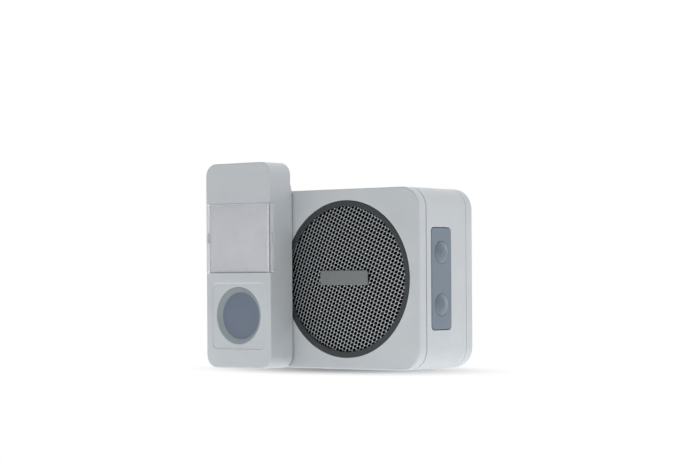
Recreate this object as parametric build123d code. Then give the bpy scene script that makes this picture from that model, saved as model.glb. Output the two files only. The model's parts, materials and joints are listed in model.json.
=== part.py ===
from build123d import *
import os
from math import asin, cos, pi, radians, sin, sqrt

# Wireless doorbell: a square chime unit, and the bell push that stands in front of its left edge.
# Millimetres. X runs to the right, Y to the back and Z up. The origin is the middle of the chime's base.
# Each unit is drawn in its own depths, counted backwards from its front face, and then put in its place.

# Chime, three shells one behind the other
CHIME_WIDTH = 85.0
CHIME_HEIGHT = 85.0
CHIME_CORNER = 10.0
FRONT_DEPTH = 5.6
MIDDLE_DEPTH = 33.1
REAR_DEPTH = 5.9
CHIME_WALL = 2.2
FRONT_SEAM = 0.5  # open groove behind the front cover
REAR_SEAM = 0.2  # finer groove before the rear cover
SEAM_ROUND = 0.2  # on the shells' edges at both grooves
LAP = 1.6  # how far the middle body's tongue enters each cover
LAP_CLEAR = 0.1
FRONT_ROUND = 0.8
REAR_ROUND = 1.5

# Case screws: posts on the front cover meet wells of the rear cover, which clamps the middle body
POST_INSET = 7.5  # from the chime's sides to a post's middle
POST_RADIUS = 3.2
POST_END = 24.0  # depth where post and well meet
WELL_RADIUS = 3.6
WELL_BORE = 2.6
WELL_FLOOR = 2.4
CASE_SCREW_RADIUS = 1.3
CASE_SCREW_HEAD = 2.4
CASE_SCREW_LENGTH = 9.0
SCREW_PLAY = 0.2  # between a shank and the hole that it passes

# Grille: ring, metal mesh, black cloth and badge, in a round pocket of the front cover
RING_RADIUS = 36.95
RING_FACE = 2.65  # width of the ring's visible face
RING_WALL = 0.9
RING_LIP = 1.2
RING_PLAY = 0.15
RING_ROUND = 0.3
POCKET_ROUND = 0.25
MESH_THICK = 0.5
MESH_PITCH = 3.74
MESH_TURN = -23.7
MESH_STRAND = 0.95
CLOTH_THICK = 0.3
POCKET_FLOOR = 2.0
POCKET_WALL = 2.0
SOUND_RADIUS = 25.0
BADGE_WIDTH = 28.0
BADGE_HEIGHT = 6.95
BADGE_RISE = 0.6  # above the middle of the grille
BADGE_CORNER = 1.0
BADGE_PROUD = 1.4
BADGE_THICK = 0.8
BADGE_ROUND = 0.25
BADGE_FOOT_INSET = 1.6  # the foot behind the badge is this much smaller all round

# Loudspeaker, on the back of the pocket floor
GASKET_THICK = 0.5
BASKET_RADIUS = 28.5
BASKET_STEEL = 0.8
BASKET_DEPTH = 11.0
BASKET_NECK = 16.0
BASKET_WINDOWS = 4
SPIDER_THICK = 0.4
SPIDER_LEDGE = 3.0
SPIDER_SEAT = 1.2
ROLL_OUTER = 25.6
ROLL_INNER = 21.6
ROLL_EDGE = 1.2  # width of the surround's flat rim on the basket
RUBBER_THICK = 0.4
GLUE_GAP = 0.05  # between the moving cone and what it is glued to
CONE_THICK = 0.4
CONE_SINK = 7.2
COIL_INNER = 6.7
COIL_WALL = 0.6
COIL_LENGTH = 8.6
COIL_GAP = 0.5
DUST_CAP_RISE = 1.6
PLATE_THICK = 1.2
MAGNET_RADIUS = 16.0
MAGNET_THICK = 5.0
YOKE_THICK = 1.4
SPEAKER_BOSS = 2.6
SPEAKER_SCREW_RADIUS = 1.1
SPEAKER_WASHER = 4.0

# Side key panel with two domed keys, and the switches behind it
PANEL_WIDTH = 15.7
PANEL_HEIGHT = 47.3
PANEL_CORNER = 1.8
PANEL_GAP = 0.3
PANEL_ROUND = 0.5
PANEL_HOLE_ROUND = 0.3
PANEL_DEPTH = 17.9  # depth of its middle line
PANEL_MIDDLE = 42.4  # height of its middle
PANEL_FLANGE = 1.3
FLANGE_THICK = 1.0
KEY_RADIUS = 5.2
KEY_PROUD = 1.8
KEY_DOME = 8.6  # radius of the domed face
KEY_EDGE = 0.6  # radius of the rounding between the dome and the key's side
KEY_FROM_END = 11.5  # from the panel's end to a key's middle
KEY_PLAY = 0.08
KEY_FLANGE = 0.9
KEY_FLANGE_THICK = 0.8
KEY_REST_GAP = 0.05
KEY_STEM = 1.6
KEY_STEM_LENGTH = 0.5
KEY_TRAVEL = 0.4
SIGN_RELIEF = 0.12  # height of the signs moulded on the keys
SIGN_SIZE = 1.8  # times the size in which the signs are drawn
SWITCH_SIDE = 6.0
SWITCH_HEIGHT = 3.5
PLUNGER_RADIUS = 1.7
PLUNGER_PROUD = 1.4
PLUNGER_SUNK = 0.7
PLUNGER_PLAY = 0.06

# Chime circuit board, which stands along the right side
BOARD_THICK = 1.6
BOARD_NEAR = 8.0  # depth of its front edge
BOARD_WIDTH = 28.0
BOARD_END_GAP = 0.5  # between the board's ends and the wells
BOSS_RADIUS = 2.5
BOSS_FROM_EDGE = 4.5  # from the board's rear edge to its screws
BOSS_FROM_END = 3.2
BOARD_SCREW_RADIUS = 0.9
BOARD_SCREW_HEAD = 2.0
BOARD_SCREW_HEAD_HEIGHT = 1.4
BOARD_SCREW_LENGTH = 6.0
AERIAL_WIRE = 0.4  # radius
AERIAL_BEND = 1.3
AERIAL_FROM_EDGE = 6.0  # from the board's rear edge
AERIAL_FROM_END = 8.0  # from the board's lower end
AERIAL_STAND = 2.2  # how far the wire stands off the board
CHIME_AERIAL = 26.0
CHIP_SIDE = 8.0
CHIP_THICK = 1.6
CHIP_FROM_EDGE = 8.0  # from the board's front edge to the chip
RADIO_WIDTH = 11.0
RADIO_HEIGHT = 14.0
RADIO_THICK = 1.0
RADIO_GAP = 4.0  # between the sound chip and the radio module
SHIELD_WIDTH = 5.0
SHIELD_HEIGHT = 8.0
SHIELD_THICK = 1.4

# Battery tray of the rear cover, with three AA cells side by side
CELL_RADIUS = 7.15
CELL_LENGTH = 50.5
CELL_NUB_RADIUS = 2.6
CELL_NUB = 1.0
CELL_COUNT = 3
CELL_PITCH = 14.8
CELL_PLAY = 0.25
TRAY_WALL = 2.0
TRAY_FLOOR = 1.2
TRAY_MIDDLE = 38.5  # height of its middle
CONTACT_THICK = 0.5
CONTACT_WIDTH = 9.6
CONTACT_DEPTH = 8.4
SPRING_LENGTH = 5.0
SPRING_RADIUS = 3.4
SPRING_WIRE = 0.35
SPRING_TURNS = 4

# Battery door, which tilts about its lower edge
DOOR_SEAT = 1.2  # how far the door laps over the tray's walls
DOOR_PLAY = 0.25
DOOR_CORNER = 1.2
HOOK_WIDTH = 4.6
HOOK_THICK = 1.5
HOOK_REACH = 1.9
HOOK_DROP = 0.5  # play between the hook and the rear wall
TONGUE_WIDTH = 9.0
TONGUE_THICK = 1.2
TONGUE_LENGTH = 2.0
TONGUE_PLAY = 0.45
GRIP_RIBS = 3
GRIP_PITCH = 2.2
GRIP_DEPTH = 0.4

# Keyhole in the rear cover, for a wall screw
KEYHOLE_RADIUS = 4.5
KEYHOLE_SLOT = 4.6
KEYHOLE_LOW = 74.0  # height of the round hole's middle
KEYHOLE_RISE = 5.2

# Bell push
PUSH_WIDTH = 40.2
PUSH_HEIGHT = 98.5
PUSH_DEPTH = 15.6
PUSH_CORNER = 6.0
PUSH_WALL = 1.8
PUSH_FRONT_WALL = 2.0
PUSH_ROUND = 0.8
PUSH_SHIFT = -51.6  # from the chime's middle to the push's middle
PUSH_STAND_OFF = 0.8  # between the push's back and the chime's front

# Back plate, screwed to the wall; its lip shows behind the case
PLATE_LIP = 1.1
PLATE_LOW = 0.6
PLATE_HIGH = 88.3
PLATE_SLOPE = 3.3
PLATE_INNER = 1.2
PLATE_PLAY = 0.2
PLATE_HOLE = 2.1
PLATE_HOLE_HEAD = 4.0
PLATE_HOLE_SINK = 0.9
PLATE_HOLE_LOW = 18.0
PLATE_HOLE_SPACING = 60.0
CLIP_WIDTH = 8.0
CLIP_THICK = 1.0
CLIP_LENGTH = 4.0
CLIP_FROM_END = 24.0

# Name window and label
WINDOW_LOW = 45.7
WINDOW_HIGH = 79.1
WINDOW_THICK = 1.2
WINDOW_CHEEK = 1.2
WINDOW_DEPTH = 2.9
WINDOW_PLAY = 0.2
CATCH_LOW = 60.3
CATCH_HIGH = 65.0
CATCH_START = 1.6
CARD_THICK = 0.3
CARD_PLAY = 0.15
SHELF_WALL = 2.0

# Push button in its square pad
PAD_WIDTH = 32.6
PAD_LOW = 9.0
PAD_HIGH = 41.2
PAD_CORNER = 2.5
PAD_SINK = 0.4
PAD_SLOPE = 0.9  # length of the slope at its top
PAD_DRAFT = 0.4  # the same at its sides and foot
BUTTON_MIDDLE = 25.2
DISH_RADIUS = 13.6
DISC_RADIUS = 11.4
DISH_SINK = 1.9
DISH_RIM = 0.25
DISH_SOFT = 1.5  # radius between the disc and its wall
DISH_EDGE_ROUND = 0.2
BUTTON_PLAY = 0.15
BUTTON_FLANGE = 1.6
SEAL_THICK = 0.5
BUTTON_STEM = 3.0
BUTTON_STEM_LENGTH = 0.2
BUTTON_TRAVEL = 0.6

# Inside the bell push
PUSH_BOARD_WIDTH = 33.0
PUSH_BOARD_INSET = 2.8  # from the case's wall to the board's ends
PUSH_POST_X = 13.5
PUSH_POST_INSET = 2.8  # from the board's ends to its screws
PUSH_POST_RADIUS = 2.4
COIN_RADIUS = 10.0
COIN_THICK = 3.2
COIN_LIFT = 0.2
CLIP_METAL = 0.3
CLIP_METAL_WIDTH = 6.0
CLIP_FOOT = 2.4  # length of each foot beyond its leg
CLIP_TO_AERIAL = 6.6
PUSH_AERIAL_FROM_END = 11.9  # from the board's upper end
PUSH_AERIAL_WIDTH = 20.0
PUSH_AERIAL_HEIGHT = 2.0
PUSH_CHIP_WIDTH = 6.0
PUSH_CHIP_HEIGHT = 5.0
PUSH_CHIP_THICK = 1.4
PUSH_CHIP_SIDE = 7.0  # from the board's middle line to the chip's middle
PUSH_CHIP_RISE = 12.0  # from the button's middle to the chip's middle

# Places that follow from the sizes
CHIME_DEPTH = FRONT_DEPTH + MIDDLE_DEPTH + REAR_DEPTH
CHIME_MIDDLE = CHIME_HEIGHT / 2
SIDE = CHIME_WIDTH / 2
POCKET_RADIUS = RING_RADIUS + RING_PLAY
POCKET_DEPTH = RING_LIP + MESH_THICK + CLOTH_THICK
MESH_RADIUS = RING_RADIUS - RING_WALL - RING_PLAY
SPEAKER_SEAT = POCKET_DEPTH + POCKET_FLOOR
REAR_FACE = CHIME_DEPTH - CHIME_WALL
POST_X = SIDE - POST_INSET
POSTS = [(sx * POST_X, CHIME_MIDDLE + sz * (CHIME_MIDDLE - POST_INSET)) for sx in (-1, 1) for sz in (-1, 1)]
PUSH_TOTAL = PUSH_DEPTH + PLATE_LIP

os.makedirs("parts", exist_ok=True)
AT_CHIME = Pos(0, -CHIME_DEPTH / 2, 0)
AT_PUSH = Pos(PUSH_SHIFT, -CHIME_DEPTH / 2 - PUSH_STAND_OFF - PUSH_TOTAL, 0)


def rounded(width, height, corner, x=0.0, z=0.0):
    """A rounded rectangle by its middle, drawn in X and Z."""
    return Pos(x, z) * RectangleRounded(width, height, corner)


def disc(radius, x=0.0, z=0.0):
    """A round outline by its middle, drawn in X and Z."""
    return Pos(x, z) * Circle(radius)


def slab(outline, near, far):
    """A plate or bar: the outline in X and Z, from one depth to another."""
    plane = Plane(origin=(0, near, 0), x_dir=(1, 0, 0), z_dir=(0, -1, 0))
    return extrude(plane * outline, amount=far - near, dir=(0, 1, 0))


def side_slab(outline, left, right):
    """A plate seen from the side: the outline in depth and Z, from one X to another."""
    plane = Plane(origin=(left, 0, 0), x_dir=(0, 1, 0), z_dir=(1, 0, 0))
    return extrude(plane * outline, amount=right - left, dir=(1, 0, 0))


def block(left, right, near, far, low, high):
    """A plain box by its six faces."""
    middle = Pos((left + right) / 2, (near + far) / 2, (low + high) / 2)
    return middle * Box(right - left, far - near, high - low)


def turned(profile, x=0.0, z=0.0):
    """A turned piece on an axis that runs backwards: the profile is a list of radius and depth."""
    face = make_face(Polyline(*[(r, d) for r, d in profile], close=True))
    return Pos(x, 0, z) * revolve(face, axis=Axis.Y)


def tube(outer, inner, near, far, x=0.0, z=0.0):
    """A round tube or ring on an axis that runs backwards."""
    return slab(disc(outer, x, z) - disc(inner, x, z), near, far)


def screw(seat, tip, shank, head, head_height, x, z):
    """A screw along the depth: its head's underside is at seat, its tip at tip."""
    outwards = 1 if seat > tip else -1
    body = turned([(0, seat + outwards * head_height), (head * 0.7, seat + outwards * head_height),
                   (head, seat + outwards * head_height * 0.45), (head, seat), (shank, seat),
                   (shank, tip + outwards * shank), (0, tip)], x, z)
    slot = block(x - head * 0.45, x + head * 0.45, -0.25, 0.25, z - 0.3, z + 0.3)
    cross = slot + block(x - 0.3, x + 0.3, -0.25, 0.25, z - head * 0.45, z + head * 0.45)
    return body - Pos(0, seat + outwards * (head_height - 0.2), 0) * cross


def rim_edges(solid, depth):
    """The outer edges of a slab's flat face at one depth."""
    faces = [f for f in solid.faces() if abs(f.center().Y - depth) < 1e-4]
    return max(faces, key=lambda f: f.area).outer_wire().edges()


def round_edges(solid, radius, depth):
    """The round edges of one radius at one depth."""
    return [e for e in solid.edges().filter_by(GeomType.CIRCLE)
            if abs(e.radius - radius) < 1e-4 and abs(e.arc_center.Y - depth) < 1e-4]


def keep(name, shape, place):
    """Writes one piece of the doorbell."""
    export_step(place * shape, f"parts/{name}.step")


# Chime shells. The walls lap at both seams: half of the wall's thickness is the cover's lip, and the rest is
# the middle body's tongue.
lip = CHIME_WALL / 2
outside = rounded(CHIME_WIDTH, CHIME_HEIGHT, CHIME_CORNER, z=CHIME_MIDDLE)


def inset(by):
    """The chime's outline, drawn in by an amount on every side."""
    return rounded(CHIME_WIDTH - 2 * by, CHIME_HEIGHT - 2 * by, CHIME_CORNER - by, z=CHIME_MIDDLE)


front_cover = slab(outside, 0, FRONT_DEPTH)
front_cover = fillet(rim_edges(front_cover, 0), FRONT_ROUND)
front_cover -= slab(inset(CHIME_WALL), CHIME_WALL, FRONT_DEPTH)
front_cover -= slab(inset(lip), FRONT_DEPTH - LAP, FRONT_DEPTH)
front_cover = fillet(rim_edges(front_cover, FRONT_DEPTH), SEAM_ROUND)
front_cover += tube(POCKET_RADIUS + POCKET_WALL, SOUND_RADIUS, 0.5 * CHIME_WALL, SPEAKER_SEAT, z=CHIME_MIDDLE)
front_cover -= slab(disc(POCKET_RADIUS, z=CHIME_MIDDLE), 0, POCKET_DEPTH)
front_cover = fillet(round_edges(front_cover, POCKET_RADIUS, 0), POCKET_ROUND)
for x, z in POSTS:
    front_cover += slab(disc(POST_RADIUS, x, z), 0.5 * CHIME_WALL, POST_END)
    front_cover -= slab(disc(CASE_SCREW_RADIUS, x, z), POST_END - CASE_SCREW_LENGTH, POST_END)

# Four bosses round the loudspeaker; each screw's washer holds the rim of the basket
speaker_rim = SPEAKER_SEAT + GASKET_THICK + BASKET_STEEL
boss_circle = BASKET_RADIUS + SPEAKER_BOSS + 0.4
speaker_bosses = [(boss_circle * cos(radians(a)), CHIME_MIDDLE + boss_circle * sin(radians(a)))
                  for a in (45, 135, 225, 315)]
speaker_bore = speaker_rim - POCKET_DEPTH - 0.5
for x, z in speaker_bosses:
    front_cover += slab(disc(SPEAKER_BOSS, x, z), POCKET_DEPTH + 0.5 * POCKET_FLOOR, speaker_rim)
    front_cover -= slab(disc(SPEAKER_SCREW_RADIUS, x, z), speaker_rim - speaker_bore, speaker_rim)
keep("front_cover", front_cover, AT_CHIME)

screw_tip = speaker_rim - speaker_bore + 0.2
speaker_screws = [turned([(0, screw_tip), (SPEAKER_SCREW_RADIUS, screw_tip + 0.8),
                          (SPEAKER_SCREW_RADIUS, speaker_rim), (SPEAKER_WASHER, speaker_rim),
                          (SPEAKER_WASHER, speaker_rim + 0.5), (2.1, speaker_rim + 0.5),
                          (1.5, speaker_rim + 1.8), (0, speaker_rim + 1.8)], x, z) for x, z in speaker_bosses]
keep("speaker_screws", Part() + speaker_screws, AT_CHIME)

middle_near, middle_far = FRONT_DEPTH + FRONT_SEAM, FRONT_DEPTH + MIDDLE_DEPTH - REAR_SEAM
tongue_near, tongue_far = FRONT_DEPTH - LAP, FRONT_DEPTH + MIDDLE_DEPTH + LAP
middle_body = slab(outside, middle_near, middle_far)
middle_body = fillet(rim_edges(middle_body, middle_near) + rim_edges(middle_body, middle_far), SEAM_ROUND)
middle_body += slab(inset(lip + LAP_CLEAR), tongue_near, tongue_far)
middle_body -= slab(inset(CHIME_WALL), tongue_near, tongue_far)

# Key panel in the right wall: a plate flush with the side, held by a flange on the inside
inner_side = SIDE - CHIME_WALL
panel_back = inner_side - FLANGE_THICK
panel_plate = rounded(PANEL_WIDTH, PANEL_HEIGHT, PANEL_CORNER, PANEL_DEPTH, PANEL_MIDDLE)
panel_hole = rounded(PANEL_WIDTH + 2 * PANEL_GAP, PANEL_HEIGHT + 2 * PANEL_GAP, PANEL_CORNER + PANEL_GAP,
                     PANEL_DEPTH, PANEL_MIDDLE)
panel_flange = rounded(PANEL_WIDTH + 2 * PANEL_FLANGE, PANEL_HEIGHT + 2 * PANEL_FLANGE,
                       PANEL_CORNER + PANEL_FLANGE, PANEL_DEPTH, PANEL_MIDDLE)
middle_body -= side_slab(panel_hole, inner_side - 1, SIDE + 1)
hole_edges = [e for e in middle_body.edges() if abs(e.center().X - SIDE) < 1e-4
              and abs(e.center().Y - PANEL_DEPTH) < PANEL_WIDTH / 2 + PANEL_GAP + 0.1
              and abs(e.center().Z - PANEL_MIDDLE) < PANEL_HEIGHT / 2 + PANEL_GAP + 0.1]
middle_body = fillet(hole_edges, PANEL_HOLE_ROUND)

key_rise = PANEL_HEIGHT / 2 - KEY_FROM_END
key_heights = {"volume": PANEL_MIDDLE + key_rise, "melody": PANEL_MIDDLE - key_rise}
flange_back = panel_back - KEY_REST_GAP - KEY_FLANGE_THICK
plunger_tip = flange_back - KEY_STEM_LENGTH
board_face = plunger_tip - PLUNGER_PROUD - SWITCH_HEIGHT
board_low = POST_INSET + WELL_RADIUS + BOARD_END_GAP
board_high = CHIME_HEIGHT - board_low
boss_depth = BOARD_NEAR + BOARD_WIDTH - BOSS_FROM_EDGE
boss_heights = [board_low + BOSS_FROM_END, board_high - BOSS_FROM_END]
for z in boss_heights:
    middle_body += side_slab(disc(BOSS_RADIUS, boss_depth, z), board_face, inner_side + 0.5 * CHIME_WALL)
    middle_body -= side_slab(disc(BOARD_SCREW_RADIUS, boss_depth, z), board_face, inner_side)
keep("middle_body", middle_body, AT_CHIME)

key_panel = side_slab(panel_plate, panel_back, SIDE)
key_panel = fillet(key_panel.faces().sort_by(Axis.X)[-1].outer_wire().edges(), PANEL_ROUND)
key_panel += side_slab(panel_flange, panel_back, inner_side)
for z in key_heights.values():
    key_panel -= side_slab(disc(KEY_RADIUS + KEY_PLAY, PANEL_DEPTH, z), panel_back - 1, SIDE + 1)
keep("key_panel", key_panel, AT_CHIME)


def side_turned(profile, depth, z):
    """A turned piece on an axis that runs to the right: the profile is a list of X and radius."""
    face = make_face(Polyline(*profile, close=True))
    return Pos(0, depth, z) * revolve(face, axis=Axis.X)


def on_arc(middle, radius, angle):
    """A point of an arc in the section of a key; the angle is zero on the key's axis."""
    return (middle[0] + radius * cos(angle), middle[1] + radius * sin(angle))


def key(z, proud):
    """A key: flange behind the panel, round body in its hole, dome outside, stem to the switch."""
    lean = asin((KEY_RADIUS - KEY_EDGE) / (KEY_DOME - KEY_EDGE))
    middle = (SIDE + proud - KEY_DOME, 0)
    edge_middle = on_arc(middle, KEY_DOME - KEY_EDGE, lean)
    rise = [on_arc(middle, KEY_DOME, a) for a in (0, lean / 2, lean)]
    fall = [on_arc(edge_middle, KEY_EDGE, a) for a in (lean, (lean + pi / 2) / 2, pi / 2)]
    dome, edge = ThreePointArc(*rise), ThreePointArc(*fall)
    back = Polyline(edge @ 1, (flange_back + KEY_FLANGE_THICK, KEY_RADIUS),
                    (flange_back + KEY_FLANGE_THICK, KEY_RADIUS + KEY_FLANGE),
                    (flange_back, KEY_RADIUS + KEY_FLANGE), (flange_back, KEY_STEM), (plunger_tip, KEY_STEM),
                    (plunger_tip, 0), rise[0])
    return Pos(0, PANEL_DEPTH, z) * revolve(make_face(Curve() + [dome, edge, back]), axis=Axis.X)


def on_key(outline, z):
    """A sign that stands a little above the dome of a key and follows its curve."""
    raised = side_slab(Pos(PANEL_DEPTH, z) * outline, SIDE - 1, SIDE + KEY_PROUD + SIGN_RELIEF)
    return raised & key(z, KEY_PROUD + SIGN_RELIEF)


# A loudspeaker sign on the upper key, and a note on the lower one
note = Pos(-1.0, -1.3) * Circle(0.75) + Pos(-0.45, 0.1) * Rectangle(0.4, 2.8)
note += Pos(0.15, 1.3) * Rectangle(1.6, 0.4)
horn = make_face(Polyline((-1.5, -0.5), (-0.7, -0.5), (0.3, -1.4), (0.3, 1.4), (-0.7, 0.5), (-1.5, 0.5),
                          close=True)) + Pos(1.2, 0) * Rectangle(0.4, 1.4)
signs = {"volume": horn, "melody": note}
for name, z in key_heights.items():
    keep(f"{name}_key", key(z, KEY_PROUD) + on_key(scale(signs[name], SIGN_SIZE), z), AT_CHIME)

switch_foot = board_face + SWITCH_HEIGHT
housings, holes = [], []
for name, z in key_heights.items():
    housing = side_slab(Pos(PANEL_DEPTH, z) * Rectangle(SWITCH_SIDE, SWITCH_SIDE), board_face, switch_foot)
    housing -= side_slab(disc(PLUNGER_RADIUS + PLUNGER_PLAY, PANEL_DEPTH, z),
                         switch_foot - PLUNGER_SUNK - KEY_TRAVEL - 0.3, switch_foot)
    housings.append(housing)
    plunger = side_slab(disc(PLUNGER_RADIUS, PANEL_DEPTH, z), switch_foot - PLUNGER_SUNK, plunger_tip)
    keep(f"{name}_plunger", plunger, AT_CHIME)
keep("key_switches", Part() + housings, AT_CHIME)

# Circuit board with its chips, aerial and screws
board_back = board_face - BOARD_THICK
board_middle = BOARD_NEAR + BOARD_WIDTH / 2
chime_board = side_slab(Pos(board_middle, CHIME_MIDDLE) * Rectangle(BOARD_WIDTH, board_high - board_low),
                        board_back, board_face)
for z in boss_heights:
    chime_board -= side_slab(disc(BOARD_SCREW_RADIUS + SCREW_PLAY, boss_depth, z), board_back, board_face)
keep("chime_board", chime_board, AT_CHIME)
board_screws = [side_turned([(board_back - BOARD_SCREW_HEAD_HEIGHT, 0),
                             (board_back - BOARD_SCREW_HEAD_HEIGHT, BOARD_SCREW_HEAD * 0.6),
                             (board_back, BOARD_SCREW_HEAD), (board_back, BOARD_SCREW_RADIUS),
                             (board_back + BOARD_SCREW_LENGTH - 1, BOARD_SCREW_RADIUS),
                             (board_back + BOARD_SCREW_LENGTH, 0)], boss_depth, z) for z in boss_heights]
keep("board_screws", Part() + board_screws, AT_CHIME)
chip_middle = BOARD_NEAR + CHIP_FROM_EDGE + CHIP_SIDE / 2
sound_chip = side_slab(Pos(chip_middle, PANEL_MIDDLE) * Rectangle(CHIP_SIDE, CHIP_SIDE),
                       board_back - CHIP_THICK, board_back)
keep("sound_chip", sound_chip, AT_CHIME)
radio_low = PANEL_MIDDLE + CHIP_SIDE / 2 + RADIO_GAP
radio_face = board_back - RADIO_THICK
radio_outline = Pos(chip_middle, radio_low + RADIO_HEIGHT / 2) * Rectangle(RADIO_WIDTH, RADIO_HEIGHT)
radio_module = side_slab(radio_outline, radio_face, board_back)
shield_middle = radio_low + RADIO_HEIGHT - 1 - SHIELD_HEIGHT / 2
radio_module += side_slab(Pos(chip_middle, shield_middle) * Rectangle(SHIELD_WIDTH, SHIELD_HEIGHT),
                          radio_face - SHIELD_THICK, radio_face)
keep("radio_module", radio_module, AT_CHIME)


def bent_wire(points, radius, bend):
    """A round wire along straight runs with one bend radius."""
    path = FilletPolyline(*points, radius=bend)
    start = Plane(origin=points[0], z_dir=Vector(*points[1]) - Vector(*points[0]))
    return sweep(start * Circle(radius), path=path)


aerial_depth = BOARD_NEAR + BOARD_WIDTH - AERIAL_FROM_EDGE
aerial_low = board_low + AERIAL_FROM_END
aerial_out = board_back - AERIAL_STAND
chime_aerial = bent_wire([(board_back, aerial_depth, aerial_low), (aerial_out, aerial_depth, aerial_low),
                          (aerial_out, aerial_depth, aerial_low + CHIME_AERIAL)], AERIAL_WIRE, AERIAL_BEND)
keep("chime_aerial", chime_aerial, AT_CHIME)

# Grille
grille_ring = tube(RING_RADIUS, RING_RADIUS - RING_FACE, 0, RING_LIP, z=CHIME_MIDDLE)
grille_ring += tube(RING_RADIUS, RING_RADIUS - RING_WALL, 0.5 * RING_LIP, POCKET_DEPTH, z=CHIME_MIDDLE)
ring_edges = round_edges(grille_ring, RING_RADIUS, 0) + round_edges(grille_ring, RING_RADIUS - RING_FACE, 0)
grille_ring = fillet(ring_edges, RING_ROUND)
keep("grille_ring", grille_ring, AT_CHIME)

# The mesh has its gaps on a square lattice that is turned a little; each gap is a small hexagon
gap_radius = (MESH_PITCH - MESH_STRAND) / 2 * 1.1
turn = radians(MESH_TURN)
reach = int(MESH_RADIUS / MESH_PITCH) + 2
gaps = []
for i in range(-reach, reach + 1):
    for j in range(-reach, reach + 1):
        x = MESH_PITCH * (i * cos(turn) - j * sin(turn))
        z = MESH_PITCH * (i * sin(turn) + j * cos(turn))
        if sqrt(x * x + z * z) < RING_RADIUS - RING_FACE - gap_radius:
            corners = [Vector(x + gap_radius * cos(turn + k * pi / 3),
                              CHIME_MIDDLE + z + gap_radius * sin(turn + k * pi / 3), 0) for k in range(6)]
            gaps.append(Wire.make_polygon(corners, close=True))
print("grille gaps:", len(gaps))
rim = Wire.make_circle(MESH_RADIUS, Plane(origin=(0, CHIME_MIDDLE, 0)))
grille_mesh = slab(Sketch() + Face(rim, gaps), RING_LIP, RING_LIP + MESH_THICK)
keep("grille_mesh", grille_mesh, AT_CHIME)
keep("grille_cloth", slab(disc(MESH_RADIUS, z=CHIME_MIDDLE), RING_LIP + MESH_THICK, POCKET_DEPTH), AT_CHIME)
badge_middle = CHIME_MIDDLE + BADGE_RISE
badge = slab(rounded(BADGE_WIDTH, BADGE_HEIGHT, BADGE_CORNER, z=badge_middle), -BADGE_PROUD,
             BADGE_THICK - BADGE_PROUD)
badge = fillet(rim_edges(badge, -BADGE_PROUD), BADGE_ROUND)
badge += slab(rounded(BADGE_WIDTH - 2 * BADGE_FOOT_INSET, BADGE_HEIGHT - 2 * BADGE_FOOT_INSET,
                      BADGE_CORNER * 0.5, z=badge_middle), BADGE_THICK - BADGE_PROUD, RING_LIP)
keep("badge_plate", badge, AT_CHIME)

# Loudspeaker, turned about the chime's middle line
basket_face = SPEAKER_SEAT + GASKET_THICK
neck = basket_face + BASKET_STEEL + BASKET_DEPTH
ledge = neck - SPIDER_LEDGE
roll_rim = ROLL_OUTER + ROLL_EDGE
keep("speaker_gasket", tube(BASKET_RADIUS, roll_rim, SPEAKER_SEAT, basket_face, z=CHIME_MIDDLE), AT_CHIME)
steel = BASKET_STEEL
coil_outer = COIL_INNER + COIL_WALL
gap_outer = coil_outer + COIL_GAP
seat_radius = BASKET_NECK - SPIDER_SEAT
basket = turned([(ROLL_OUTER, basket_face), (BASKET_RADIUS, basket_face),
                 (BASKET_RADIUS, basket_face + steel), (ROLL_OUTER + steel, basket_face + steel),
                 (BASKET_NECK + steel, ledge), (BASKET_NECK + steel, neck), (gap_outer + 2, neck),
                 (gap_outer + 2, neck - steel),
                 (seat_radius, neck - steel), (seat_radius, ledge), (BASKET_NECK, ledge),
                 (ROLL_OUTER, basket_face + steel)], 0, CHIME_MIDDLE)
window_wide = radians(360 / BASKET_WINDOWS * 0.3)
for k in range(BASKET_WINDOWS):
    middle = radians(360 / BASKET_WINDOWS * k)
    far_out = BASKET_RADIUS * 1.2
    one, two = middle - window_wide, middle + window_wide
    wedge = make_face(Polyline((0, CHIME_MIDDLE), (far_out * cos(one), CHIME_MIDDLE + far_out * sin(one)),
                               (far_out * cos(two), CHIME_MIDDLE + far_out * sin(two)), close=True))
    basket -= slab(wedge - disc(BASKET_NECK + steel + 0.6, z=CHIME_MIDDLE), basket_face + 2.2 * steel, ledge)
keep("speaker_basket", basket, AT_CHIME)

pole = COIL_INNER - COIL_GAP
plate_far = neck + PLATE_THICK
magnet_far = plate_far + MAGNET_THICK
yoke_far = magnet_far + YOKE_THICK
keep("speaker_plate", tube(MAGNET_RADIUS - 1, gap_outer, neck, plate_far, z=CHIME_MIDDLE), AT_CHIME)
keep("speaker_magnet", tube(MAGNET_RADIUS, gap_outer + 1, plate_far, magnet_far, z=CHIME_MIDDLE), AT_CHIME)
yoke = turned([(0, neck), (pole, neck), (pole, magnet_far), (MAGNET_RADIUS - 1, magnet_far),
               (MAGNET_RADIUS - 1, yoke_far - 0.4), (MAGNET_RADIUS - 1.4, yoke_far), (0, yoke_far)],
              0, CHIME_MIDDLE)
keep("magnet_yoke", yoke, AT_CHIME)

# The cone, coil and dust cap move together; the surround and the spider stay a hair clear of them
cone_near = basket_face - CONE_THICK
cone_far = cone_near + CONE_SINK
cone = turned([(ROLL_INNER, cone_near), (ROLL_INNER, cone_near + CONE_THICK),
               (coil_outer, cone_far + CONE_THICK), (coil_outer, cone_far)], 0, CHIME_MIDDLE)
keep("speaker_cone", cone, AT_CHIME)
coil_near = cone_far - 0.6
coil_far = coil_near + COIL_LENGTH
keep("voice_coil", tube(coil_outer - 0.02, COIL_INNER, coil_near, coil_far, z=CHIME_MIDDLE), AT_CHIME)


def cap_line(depth):
    """The section of the dust cap's dome, from its top to its rim."""
    return ThreePointArc((0, depth - DUST_CAP_RISE), (coil_outer * 0.55, depth - DUST_CAP_RISE * 0.7),
                         (coil_outer, depth))


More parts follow.
